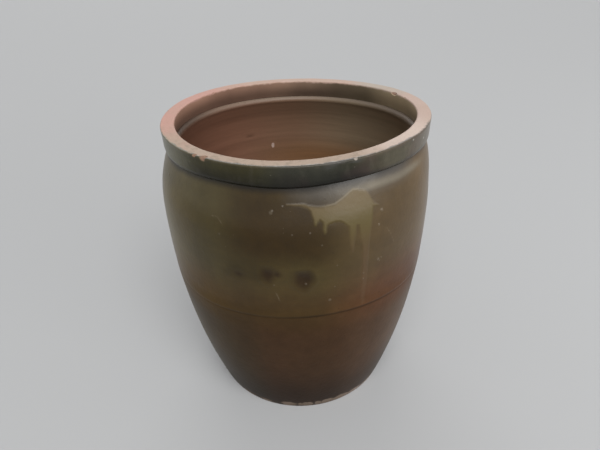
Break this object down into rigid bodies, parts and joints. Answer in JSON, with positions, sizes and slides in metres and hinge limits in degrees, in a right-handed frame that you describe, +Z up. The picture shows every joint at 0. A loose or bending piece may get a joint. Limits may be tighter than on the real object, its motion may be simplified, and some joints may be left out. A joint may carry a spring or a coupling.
{
  "type": "storage jar",
  "caption": "Large round stoneware storage jar, open at the top, with a heavy flat rim over a full belly that tapers to a flat foot; brown glaze with a bare clay rim.",
  "frame": {"origin": "centre of the foot on the surface it stands on", "axes": "+Z up along the jar's axis, -Y towards the side that the picture shows"},
  "size_m": [0.4384, 0.4384, 0.5],
  "materials": {
    "bare_clay": "unglazed fired stoneware, matt",
    "lower_glaze": "thin red-brown glaze, glossy",
    "upper_glaze": "olive-brown glaze with paler runs, glossy",
    "collar_glaze": "green-black glaze, flat top of bare clay"
  },
  "bodies": {
    "root": {"base_disc": "bare_clay", "lower_wall": "lower_glaze", "upper_wall": "upper_glaze", "rim_collar": "collar_glaze"}
  },
  "joints": []
}
